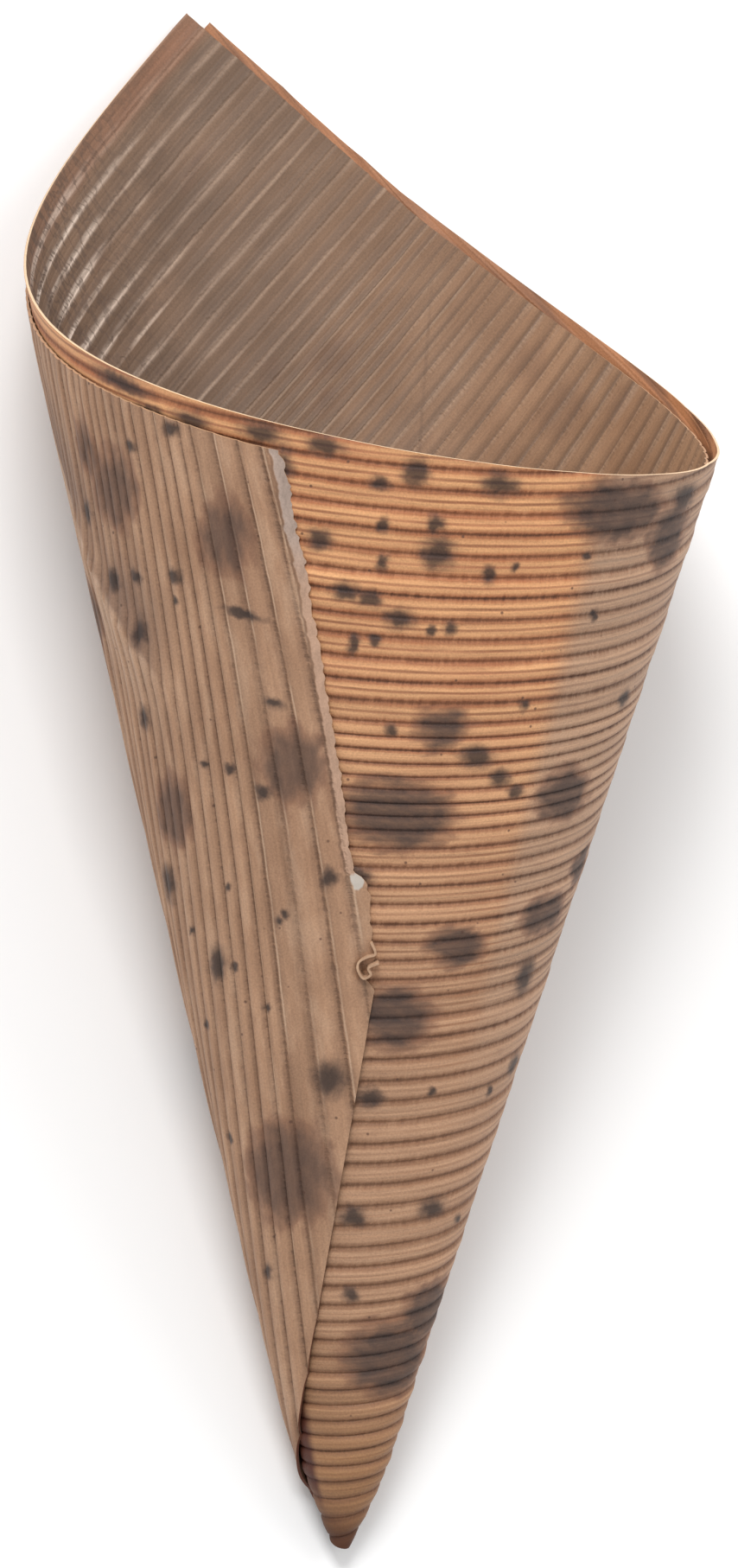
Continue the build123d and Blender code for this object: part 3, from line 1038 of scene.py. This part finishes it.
path, sideways = smooth_path(curl_points, curl_steps)
growth = np.linspace(first_height, 1.0, len(path))
corners = []
for shift, top in ((-1, False), (1, False), (1, True), (-1, True)):
    edge = path + shift * curl_thickness / 2 * sideways
    height = np.where(top, curl_low + growth * (curl_high - curl_low), curl_low)
    corners.append(mm * (wound(edge[:, 0], edge[:, 1], height) + apex))
curl_rings = np.stack(corners, 1)
ring_count = len(curl_rings)
curl_faces = [
    (4 * r + k, 4 * r + (k + 1) % 4, 4 * r + 4 + (k + 1) % 4, 4 * r + 4 + k)
    for r in range(ring_count - 1) for k in range(4)
]
curl_faces += [(3, 2, 1, 0), tuple(4 * (ring_count - 1) + k for k in range(4))]
curl_mesh = bpy.data.meshes.new("tear_curl")
curl_mesh.from_pydata(curl_rings.reshape(-1, 3).tolist(), [], curl_faces)
work = bmesh.new()
work.from_mesh(curl_mesh)
bmesh.ops.recalc_face_normals(work, faces=work.faces[:])
work.to_mesh(curl_mesh)
work.free()
print("curl:", len(curl_faces), "faces")

# %% [markdown]
# The curl is bare fibre, paler than the skin. It is so small that plain noise is streaks enough.

# %% The curl's material
fibre_finish = new_material("torn_fibre")
skin = Graph(fibre_finish.node_tree)
streaks = skin.noise(skin.node("ShaderNodeTexCoord", {}, {}, "Object"), 2600.0, 3.0, 0.6)
fibre_colour = mixed(streaks, (150, 114, 88), (214, 178, 146))
surfaced(fibre_finish, fibre_colour, 0.55 + 0.2 * streaks, streaks, 0.5, mm * 0.1, 0.5)
curl_mesh.materials.append(fibre_finish)
curl_piece = added("tear_curl", curl_mesh)
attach(curl_piece, "root")
skin.tell("the curl")

# %% [markdown]
# The cone lies on a pale table, which belongs to the stage and isn't part of the model.

# %% Floor
half = 4
floor_mesh = bpy.data.meshes.new("floor")
floor_corners = [(-half, -half, 0), (half, -half, 0), (half, half, 0), (-half, half, 0)]
floor_mesh.from_pydata(floor_corners, [], [(0, 1, 2, 3)])
floor = added("floor", floor_mesh)
paper = bpy.data.materials.new("pale_paper")
paper.use_nodes = True
paper_surface = paper.node_tree.nodes["Principled BSDF"]
paper_surface.inputs["Base Color"].default_value = (0.93, 0.93, 0.93, 1)
paper_surface.inputs["Roughness"].default_value = 0.9
floor_mesh.materials.append(paper)
print("floor:", 2 * half, "m wide")

# %% [markdown]
# The camera stands where the photograph's did. Its place was fitted to the edges of the cone, in
# the cone's own directions: a turn about the axis, a rise along it and a roll.

# %% Camera, as seen from the cone
picture_height = 1814
pixels_per_mm, camera_distance, sensor = 15.065, 650.0, 36.0
camera_turn, camera_rise, camera_roll = (math.radians(angle) for angle in (-33.627, 1.118, 2.481))
aim_aside, aim_up, aim_along = -0.224, -2.112, 65.0

middle = np.array([0, 0, aim_along])
to_camera = np.array([
    math.cos(camera_rise) * math.cos(camera_turn),
    math.cos(camera_rise) * math.sin(camera_turn),
    math.sin(camera_rise),
])
level = np.array([-math.sin(camera_turn), math.cos(camera_turn), 0])
overhead = np.cross(to_camera, level)
stand = middle + camera_distance * to_camera
aim = middle + aim_aside * level + aim_up * overhead
back = (stand - aim) / np.linalg.norm(stand - aim)
right = np.cross(overhead, back)
right /= np.linalg.norm(right)
up = np.cross(back, right)
right, up = (
    math.cos(camera_roll) * right + math.sin(camera_roll) * up,
    math.cos(camera_roll) * up - math.sin(camera_roll) * right,
)
axes = [Vector(lay_down @ axis) for axis in (right, up, back)]
camera_data = bpy.data.cameras.new("camera")
camera_data.sensor_width = sensor
camera_data.lens = sensor * pixels_per_mm * camera_distance / picture_height
camera_data.clip_start, camera_data.clip_end = 0.01, 20
camera = added("camera", camera_data)
placed = np.eye(4)
placed[:3, 0], placed[:3, 1], placed[:3, 2] = axes
placed[:3, 3] = mm * (lay_down @ stand + apex)
camera.matrix_world = Matrix(placed.tolist())
bpy.context.scene.camera = camera
print("camera at", [round(v, 3) for v in camera.location], "lens", round(camera_data.lens, 1))

# %% [markdown]
# The photograph was lit softly from all round, with a little more light from above the mouth.
# A white surrounding and two square lamps do that, without hard shadows.

# %% Soft studio light
aim_height, surrounding = 0.015, 0.66
world = bpy.data.worlds.new("studio")
bpy.context.scene.world = world
world.use_nodes = True
world.node_tree.nodes["Background"].inputs["Color"].default_value = (1, 1, 1, 1)
world.node_tree.nodes["Background"].inputs["Strength"].default_value = surrounding


def soft_light(name, place, size, power):
    """A square lamp that faces the cone."""
    lamp_data = bpy.data.lights.new(name, "AREA")
    lamp_data.size, lamp_data.energy = size, power
    lamp = added(name, lamp_data)
    lamp.location = place
    lamp.rotation_mode = "QUATERNION"
    lamp.rotation_quaternion = (Vector(place) - Vector((0, 0, aim_height))).to_track_quat("Z", "Y")


soft_light("key", (-0.20, 0.50, 0.75), 0.35, 5.2)
soft_light("fill", (0.60, 0.35, 0.60), 0.50, 1.6)
bpy.context.scene.view_settings.view_transform = "Standard"
print("lamps:", len(bpy.data.lights))
